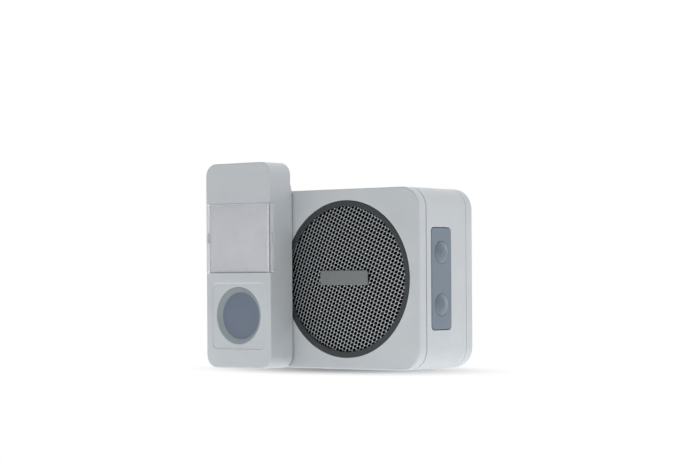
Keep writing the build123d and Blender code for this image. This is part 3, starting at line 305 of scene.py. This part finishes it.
lamp_data = bpy.data.lights.new("right_rear_softbox", "AREA")
lamp_data.shape = "RECTANGLE"
lamp_data.size = lamp_data.size_y = LAMP_SIZE
lamp_data.energy = LAMP_WATTS
lamp = bpy.data.objects.new("right_rear_softbox", lamp_data)
bpy.context.scene.collection.objects.link(lamp)
lamp.location = LAMP_PLACE
lamp.rotation_euler = (Vector(LAMP_AIMS_AT) - lamp.location).to_track_quat("-Z", "Y").to_euler()
print("lamp of", LAMP_WATTS, "W at", LAMP_PLACE)

# %% [markdown]
# ## The mesh of the grille
#
# The grille is expanded aluminium: a sheet is slit and pulled until each slit opens into a small rounded hole, and
# the strands between them stand up as soft ridges. The holes sit on a nearly square lattice, about 1.9 mm apart, that
# leans by about a quarter of a right angle. There are over a thousand, so one cell is drawn with care and few faces,
# and two Array modifiers repeat it along the lattice's two directions.
#
# The cell is drawn one unit wide. A ring of twelve corners is the hole: it is drawn round, squared up a little, and
# pulled longer along the cell's diagonal, as the stretched metal is. Its outer loop is pushed out on to the cell's
# square edge, where neighbours meet.

# %% One cell of the mesh
ALONG = Vector((1.665, -0.776, 0)) * MM
ACROSS = Vector((0.723, 1.761, 0)) * MM
HOLE_CORNERS = 12
HOLE_RADIUS = 0.45
HOLE_SQUARE = 2.8
HOLE_STRETCH = 1.2
HOLE_SQUASH = 0.86
HOLE_LEAN = radians(45)
OUTER_LOOP = 1.3
HALF_CELL = 0.5

bpy.ops.object.select_all(action="DESELECT")
bpy.ops.mesh.primitive_circle_add(vertices=HOLE_CORNERS, radius=HOLE_RADIUS, rotation=(0, 0, pi / HOLE_CORNERS))
mesh_sheet = bpy.context.object
mesh_sheet.name = "grille_mesh_sheet"
bpy.ops.object.transform_apply(location=True, rotation=True, scale=True)
bpy.ops.object.mode_set(mode="EDIT")
bpy.ops.mesh.extrude_region_move()
bpy.ops.transform.resize(value=(OUTER_LOOP, OUTER_LOOP, 1))
bpy.ops.object.mode_set(mode="OBJECT")
ridge = mesh_sheet.vertex_groups.new(name="ridge")
lean = Vector((cos(HOLE_LEAN), sin(HOLE_LEAN), 0))
stretch = Matrix.Scale(HOLE_STRETCH, 4, lean) @ Matrix.Scale(HOLE_SQUASH, 4, Vector((-lean.y, lean.x, 0)))
for v in mesh_sheet.data.vertices:
    if v.co.length > HOLE_RADIUS * (1 + OUTER_LOOP) / 2:
        v.co *= HALF_CELL / max(abs(v.co.x), abs(v.co.y))
        ridge.add([v.index], 1.0, "REPLACE")
    else:
        squared = (abs(v.co.x) ** HOLE_SQUARE + abs(v.co.y) ** HOLE_SQUARE) ** (1 / HOLE_SQUARE)
        v.co = stretch @ (v.co * HOLE_RADIUS / squared)
print("one cell:", len(mesh_sheet.data.polygons), "faces")

# %% [markdown]
# The cell is now laid on the real lattice and repeated. A round sheet is cut out of the field by many straight cuts,
# as snips would do it. The cut edge hides under the grille's ring.

# %% The sheet, repeated and cut round
REPEATS = 46
CUTS = 60
INSIDE_RING = 1.15 * MM
MERGE = 0.01 * MM

place = Matrix.Identity(4)
place.col[0] = (*ALONG, 0)
place.col[1] = (*ACROSS, 0)
mesh_sheet.data.transform(place)
mesh_sheet.data.transform(Matrix.Translation(-(ALONG + ACROSS) * (REPEATS // 2)))
bpy.context.view_layer.objects.active = mesh_sheet
for name, step in (("along", ALONG), ("across", ACROSS)):
    array = mesh_sheet.modifiers.new(name, "ARRAY")
    array.count = REPEATS
    array.use_relative_offset = False
    array.use_constant_offset = True
    array.constant_offset_displace = step
    array.use_merge_vertices = True
    array.merge_threshold = MERGE
    bpy.ops.object.modifier_apply(modifier=name)
ring_low, ring_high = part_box("grille_ring")
sheet_radius = (ring_high.x - ring_low.x) / 2 - INSIDE_RING
bpy.ops.object.mode_set(mode="EDIT")
for k in range(CUTS):
    angle = 2 * pi * k / CUTS
    outwards = Vector((cos(angle), sin(angle), 0))
    bpy.ops.mesh.select_all(action="SELECT")
    bpy.ops.mesh.bisect(plane_co=outwards * sheet_radius, plane_no=outwards, clear_outer=True)
bpy.ops.object.mode_set(mode="OBJECT")
print("round sheet:", len(mesh_sheet.data.polygons), "faces, radius", round(sheet_radius / MM, 2), "mm")

# %% [markdown]
# The real grille is pressed into a very shallow dome, which carries the badge proud of the ring. The Cast modifier
# pulls the flat sheet on to a big sphere, along one direction only. The sphere's radius follows from the width of the
# sheet and from the rise of its middle, which has to reach the back of the badge.

# %% Dome
BADGE_SUNK = 0.8 * MM

sheet_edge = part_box("grille_mesh")[0].y
rise = sheet_edge - (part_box("badge_plate")[0].y + BADGE_SUNK)
sphere_radius = (sheet_radius ** 2 + rise ** 2) / (2 * rise)
centre = bpy.data.objects.new("sphere_centre", None)
bpy.context.scene.collection.objects.link(centre)
centre.location = (0, 0, -(sphere_radius - rise))
cast = mesh_sheet.modifiers.new("dome", "CAST")
cast.object = centre
cast.factor = 1
cast.use_x = cast.use_y = False
cast.use_radius_as_size = False
cast.size = sphere_radius
bpy.context.view_layer.update()
bpy.ops.object.modifier_apply(modifier="dome")
bpy.data.objects.remove(centre)
top = max(v.co.z for v in mesh_sheet.data.vertices)
print("dome rises", round(top / MM, 2), "mm of", round(rise / MM, 2))

# %% [markdown]
# Then the ridges are raised along their normals, Solidify gives the sheet its thickness, and it is stood upright
# behind the ring. It takes the place of the solid model's coarser grille, and rides on the chime.

# %% Ridges, thickness and place
SHEET_THICK = 0.1 * MM
RIDGE = 0.08 * MM
SMOOTH_UP_TO = radians(50)

raised = mesh_sheet.modifiers.new("ridges", "DISPLACE")
raised.vertex_group = "ridge"
raised.strength = RIDGE
raised.mid_level = 0
bpy.ops.object.modifier_apply(modifier="ridges")
solid = mesh_sheet.modifiers.new("thickness", "SOLIDIFY")
solid.thickness = SHEET_THICK
solid.offset = -1
bpy.ops.object.modifier_apply(modifier="thickness")
behind_ring = ((ring_low.x + ring_high.x) / 2, sheet_edge, (ring_low.z + ring_high.z) / 2)
mesh_sheet.data.transform(Matrix.Translation(behind_ring) @ Matrix.Rotation(pi / 2, 4, "X"))
bpy.ops.object.shade_smooth_by_angle(angle=SMOOTH_UP_TO)
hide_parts("grille_mesh")
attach(mesh_sheet, "chime")
sheet_low = [round(min(v.co[i] for v in mesh_sheet.data.vertices) / MM, 2) for i in range(3)]
sheet_high = [round(max(v.co[i] for v in mesh_sheet.data.vertices) / MM, 2) for i in range(3)]
print("mesh sheet from", sheet_low, "to", sheet_high)

# %% [markdown]
# ## Moulded plastics
#
# The shells are satin ABS, light cool grey, moulded against a fine spark-eroded steel. The grain of such a mould is
# about a tenth of a millimetre; it is drawn four times as coarse here, so that it shows at all. The side keys are the
# same plastic in blue grey, and the grille's ring is dark slate. The disc of the push's dish is blue grey. The wall
# round the disc is painted a paler, plainer grey, which is a painted sheen. It is painted paler still towards its foot,
# which is painted light on that upward-facing wall.

# %% Satin ABS
ABS_IOR = 1.53
ABS_GRAIN = 0.45
ABS_BUMP = 0.15
CLOUD = 18
CLOUDY = 0.03
GLOSS_VARIES = 0.06
DISH_MIDDLE = tuple(sum(ends) / 2 for ends in zip(*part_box("push_button")))
DISH_PLANE = (1, 0, 1)
DISC_EDGE = 11.1 * MM
WALL_EDGE = 11.7 * MM


def painted_dish_sheen(graph, where, disc, wall_top, wall_foot):
    """The dish's colours: a disc, and round it a painted sheen on the wall, painted paler towards its foot as painted
    light.
    """
    away = add(graph, "ShaderNodeVectorMath", {0: where, 1: DISH_MIDDLE}, operation="SUBTRACT").outputs[0]
    up = add(graph, "ShaderNodeSeparateXYZ", {0: away}).outputs["Z"]
    # painted light: the wall is painted paler towards its foot
    wall = blend(graph, ramp(graph, up, -WALL_EDGE, WALL_EDGE), colour(wall_foot), colour(wall_top))
    radius = distance(graph, where, DISH_MIDDLE, DISH_PLANE)
    # painted sheen: the wall round the disc is painted paler than the disc
    return blend(graph, ramp(graph, radius, DISC_EDGE, WALL_EDGE, curve="SMOOTHSTEP"), colour(disc), wall)


def moulded_plastic(name, code, rough, wall=None):
    """Moulded plastic: a cloudy hint in the colour, and a fine grain. A wall, if given, is the top and foot colours of
    a painted sheen round the dish, the paler foot being painted light.
    """
    material, graph, where = start_material(name)
    base = painted_dish_sheen(graph, where, code, *wall) if wall else colour(code)[:3]
    grain = noise(graph, where, ABS_GRAIN, 3.0)
    shader = principled(graph, base_color=mottle(graph, noise(graph, where, CLOUD, 2.0), base, CLOUDY),
                        roughness=ramp(graph, grain, 0.0, 1.0, rough - GLOSS_VARIES, rough + GLOSS_VARIES),
                        normal=relief(graph, grain, ABS_BUMP), ior=ABS_IOR)
    finish_material(graph, shader)
    return material


case_abs = moulded_plastic("satin_grey_abs", "C4C9CD", 0.42)
slate_abs = moulded_plastic("satin_slate_abs", "2D3235", 0.5)
key_abs = moulded_plastic("satin_blue_grey_abs", "6C7A88", 0.36)
# the dish carries a painted sheen on its wall and painted light at the wall's foot
dish_abs = moulded_plastic("satin_abs_painted_sheen", "697485", 0.36, wall=("858F93", "9EA9AD"))
print("plastics:", case_abs.name, slate_abs.name, key_abs.name, dish_abs.name)

# %% [markdown]
# ## Metals
#
# The mesh is aluminium, slit, drawn and left bright, so its tone and gloss change a little from strand to strand. The
# badge is a plain plate with a very fine brush along it, left bare. The contacts, screws and springs inside are nickel
# or zinc plated steel, and the windings and aerials enamelled copper.

# %% Metals
METAL_VARIES = 0.08
METAL_BUMP = 0.1


def bare_metal(name, code, rough, brush_mm, along=(1, 1, 1)):
    """A bare metal: streaks of slightly different gloss and tone, drawn out in a direction with a small factor."""
    material, graph, where = start_material(name)
    drawn = add(graph, "ShaderNodeMapping", {"Vector": where, "Scale": along}).outputs[0]
    streak = noise(graph, drawn, brush_mm, 3.0)
    shader = principled(graph, base_color=mottle(graph, streak, colour(code)[:3], METAL_VARIES),
                        roughness=ramp(graph, streak, 0.0, 1.0, rough - METAL_VARIES, rough + METAL_VARIES),
                        normal=relief(graph, streak, METAL_BUMP), metallic=1.0)
    finish_material(graph, shader)
    return material


mesh_aluminium = bare_metal("drawn_aluminium", "BBC0C3", 0.42, 0.3)
badge_aluminium = bare_metal("brushed_badge_plate", "878B8B", 0.45, 0.12, along=(0.05, 1, 1))
zinc_steel = bare_metal("zinc_plated_steel", "B9BBBC", 0.35, 1.5)
nickel_steel = bare_metal("nickel_plated_steel", "C9C6BD", 0.22, 0.8)
copper_wire = bare_metal("enamelled_copper", "B5683C", 0.3, 0.4)
print("metals:", mesh_aluminium.name, badge_aluminium.name, zinc_steel.name, nickel_steel.name, copper_wire.name)

# %% [markdown]
# ## The clear window
#
# The name window is clear acrylic, seen more by its outline than by its faces. A wall so thin hardly bends the light,
# so most of it goes straight through; the rest is refracted.
#
# Where the moulding ends it shows, and here it is painted. A fine pale line down each side and along the top of the
# front is a painted highlight, and the outer face of each cheek is painted paler, which is painted light over the shade
# behind it. At the front corners, seen from within the plastic, a dark line is painted shade. All of these are laid by
# their place on the window, and each fades over a hair's breadth.
# The gloss grows towards a grazing view, as on any clear plastic, and is left out at those corners.

# %% Acrylic
PALE_SIDES = 1.5 * MM  # from the side to the inner end of the pale line
PALE_TOP = 0.45 * MM
CORNER_WIDE = 0.5 * MM
CORNER_DEEP = 1.6 * MM
OUTER_FILM = 0.12 * MM  # what counts as the front face or the outer face
FADE = 0.08 * MM
EDGE_HIGHLIGHT_SHARE = 0.5
# how strongly the painted light on the cheeks' outer faces is laid
CHEEK_LIGHT_SHARE = 0.6
BENT_SHARE = 0.3
RIPPLE = 9
RIPPLE_BUMP = 0.1
ACRYLIC_IOR = 1.49
ACRYLIC_ROUGH = 0.03
GLOSS_ROUGH = 0.05
GLOSS_FACING = 0.04
GLOSS_POWER = 5.0

window_low, window_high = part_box("name_window")
window_middle = (window_low.x + window_high.x) / 2
window_half = (window_high.x - window_low.x) / 2
window_front = window_low.y

clear_acrylic, graph, where = start_material("clear_moulded_acrylic")
point = add(graph, "ShaderNodeSeparateXYZ", {0: where})
off_middle = maths(graph, "ABSOLUTE", maths(graph, "SUBTRACT", point.outputs["X"], window_middle))


def beside(inset):
    """1 nearer to either side than the inset, and 0 further in."""
    return ramp(graph, off_middle, window_half - inset, window_half - inset + FADE)


def in_front(inset):
    """1 nearer to the front than the inset, and 0 further back."""
    return ramp(graph, point.outputs["Y"], window_front + inset, window_front + inset - FADE)


inside = add(graph, "ShaderNodeNewGeometry").outputs["Backfacing"]
outside = maths(graph, "SUBTRACT", 1.0, inside)
topmost = ramp(graph, point.outputs["Z"], window_high.z - PALE_TOP, window_high.z - PALE_TOP + FADE)
off_corner = ramp(graph, off_middle, window_half - CORNER_WIDE, window_half - CORNER_WIDE - FADE)
# painted highlight: a pale line down each side and along the top of the front
painted_highlight_line = maths(graph, "MULTIPLY", in_front(OUTER_FILM), maths(graph, "MAXIMUM", beside(PALE_SIDES), topmost))
painted_highlight_line = maths(graph, "MULTIPLY", painted_highlight_line, off_corner)
# painted shade: a dark line at the front corners, seen from within
painted_shade_corner = maths(graph, "MULTIPLY", beside(CORNER_WIDE), in_front(CORNER_DEEP))
# painted light: the outer face of each cheek is painted paler
painted_light_cheek = maths(graph, "MULTIPLY", beside(OUTER_FILM), outside)
# how much pale scatter is laid, for the painted highlight and for the painted light on the cheeks
painted_pale_share = maths(graph, "MAXIMUM", maths(graph, "MULTIPLY", painted_highlight_line, EDGE_HIGHLIGHT_SHARE),
             maths(graph, "MULTIPLY", painted_light_cheek, CHEEK_LIGHT_SHARE))
print("window:", round(2 * window_half / MM, 2), "mm wide")

# %% [markdown]
# With its painted lines known, the window is put together: what goes straight through, what is bent, the pale scatter
# that carries the painted highlight and the painted light, and last what is mirrored.

# %% Acrylic, put together
ripple = noise(graph, where, RIPPLE, 1.0)
ripple_tint_and_painted_shade = blend(graph, ripple, colour("F7F8FA"), colour("FDFDFE"))
# painted shade: the front corners are tinted dark grey where seen from within
ripple_tint_and_painted_shade = blend(graph, maths(graph, "MULTIPLY", painted_shade_corner, inside), ripple_tint_and_painted_shade, colour("979CA2"))
bent = principled(graph, base_color=ripple_tint_and_painted_shade, roughness=ACRYLIC_ROUGH, ior=ACRYLIC_IOR, transmission_weight=1.0,
                  normal=relief(graph, ripple, RIPPLE_BUMP))
straight = add(graph, "ShaderNodeBsdfTransparent", {"Color": ripple_tint_and_painted_shade})
# the pale scatter that lays the painted highlight and the painted light on the cheeks
painted_pale_scatter = add(graph, "ShaderNodeBsdfDiffuse", {"Color": colour("F2F3F5")})
mirror = add(graph, "ShaderNodeBsdfGlossy", {"Color": WHITE, "Roughness": GLOSS_ROUGH})
pane = mix(graph, painted_pale_share, mix(graph, BENT_SHARE, straight.outputs[0], bent), painted_pale_scatter.outputs[0])
grazing = maths(graph, "POWER", add(graph, "ShaderNodeLayerWeight").outputs["Facing"], GLOSS_POWER)
gloss = maths(graph, "MULTIPLY_ADD", grazing, 1 - GLOSS_FACING, GLOSS_FACING)
glossy_part = maths(graph, "MAXIMUM", maths(graph, "SUBTRACT", outside, painted_shade_corner), 0.0)
finish_material(graph, mix(graph, maths(graph, "MULTIPLY", gloss, glossy_part), pane, mirror.outputs[0]))
print("made", clear_acrylic.name)

# %% [markdown]
# ## Soft and fibrous things
#
# Under the window lies a card. Black cloth keeps dust out of the loudspeaker, whose cone is pressed pulp with a rubber
# surround. The cloth is fluffy and drinks nearly all light, so it has almost no mirror part. The magnet's ferrite and
# the resin of the chips are speckled in the same way, so the same function makes them.


# %% Card, cloth, pulp and rubber
def fibrous(name, code, fibre_mm, rough, uneven=0.06, depth=0.3, mirror=0.5):
    """Paper, cloth, pulp and the like: short fibres or grains at random, with a slightly mottled colour."""
    material, graph, where = start_material(name)
    fibre = noise(graph, where, fibre_mm, 6.0, 0.7)
    shader = principled(graph, base_color=mottle(graph, fibre, colour(code)[:3], uneven), roughness=rough,
                        normal=relief(graph, fibre, depth, 0.05), specular_ior_level=mirror)
    finish_material(graph, shader)
    return material


label_card = fibrous("plain_label_card", "DDDDE0", 0.6, 0.7, uneven=0.01, depth=0.1)
speaker_cloth = fibrous("black_speaker_cloth", "060607", 0.3, 0.9, uneven=0.3, mirror=0.05)
cone_pulp = fibrous("pressed_paper_pulp", "1B1B1C", 0.8, 0.8, uneven=0.2)
spider_weave = fibrous("resin_stiffened_cloth", "B98E4E", 0.4, 0.75, uneven=0.15)
black_rubber = fibrous("soft_black_rubber", "141415", 0.25, 0.6, uneven=0.15, depth=0.15)
ferrite = fibrous("sintered_ferrite", "26272A", 0.5, 0.55, uneven=0.2, depth=0.4)
chip_resin = fibrous("moulded_chip_resin", "151617", 0.3, 0.5, uneven=0.1, depth=0.2)
print("soft and fibrous:", label_card.name, speaker_cloth.name, cone_pulp.name, black_rubber.name)

# %% [markdown]
# ## Circuit boards and cells
#
# The boards are glass-epoxy laminate under green solder resist. Copper tracks show through it as paler lines, drawn
# here as the borders of a Voronoi pattern that is measured in city blocks, so that they run square or on the diagonal.
# The cells wear a plain dark shrunk sleeve, a little scuffed, with no print.

# %% Board laminate and cell sleeve
TRACK_PITCH = 2.2 * MM
TRACK_FROM = 0.42
TRACK_TO = 0.46
SCUFF = 4
SHINY = 0.3

board_laminate, graph, where = start_material("glass_epoxy_board")
tracks = add(graph, "ShaderNodeTexVoronoi", {"Vector": where, "Scale": 1 / TRACK_PITCH}, distance="MANHATTAN",
             feature="F1").outputs["Distance"]
resist = blend(graph, ramp(graph, tracks, TRACK_FROM, TRACK_TO), colour("1E5B38"), colour("2F7A4E"))
finish_material(graph, principled(graph, base_color=resist, roughness=SHINY))

cell_sleeve, graph, where = start_material("plain_cell_sleeve")
sleeve = blend(graph, noise(graph, where, SCUFF, 4.0), colour("23262B"), colour("2E3238"))
finish_material(graph, principled(graph, base_color=sleeve, roughness=SHINY))
print("boards and cells:", board_laminate.name, cell_sleeve.name)

# %% [markdown]
# ## Dressing every piece
#
# Each solid piece names the slot that its finish comes from, so one table from slot to material dresses them all. The
# push button is the one exception, with the painted sheen and painted light on its dish's wall.

# %% Dress the solid pieces
finishes = {
    "case_plastic": case_abs, "slate_plastic": slate_abs, "key_plastic": key_abs, "mesh_metal": mesh_aluminium,
    "badge_metal": badge_aluminium, "black_cloth": speaker_cloth, "clear_acrylic": clear_acrylic,
    "label_paper": label_card, "sheet_steel": zinc_steel, "screw_steel": zinc_steel, "ferrite": ferrite,
    "cone_paper": cone_pulp, "soft_rubber": black_rubber, "spider_cloth": spider_weave,
    "copper_winding": copper_wire, "board_laminate": board_laminate, "chip_resin": chip_resin,
    "cell_jacket": cell_sleeve, "contact_nickel": nickel_steel,
}
for entry in frame["record"]["subparts"]:
    piece = nodes[entry["node"]]
    material = finishes[entry["material_slot"]]
    if not piece.material_slots:
        piece.data.materials.append(material)
    for material_slot in piece.material_slots:
        material_slot.material = material
# the push button's dish, with its painted sheen and painted light
nodes["push_button"].material_slots[0].material = dish_abs
mesh_sheet.data.materials.clear()
mesh_sheet.data.materials.append(mesh_aluminium)

# %% [markdown]
# ## The picture's colours
#
# The Standard view shows a colour as it is written.

# %% View
bpy.context.scene.view_settings.view_transform = "Standard"
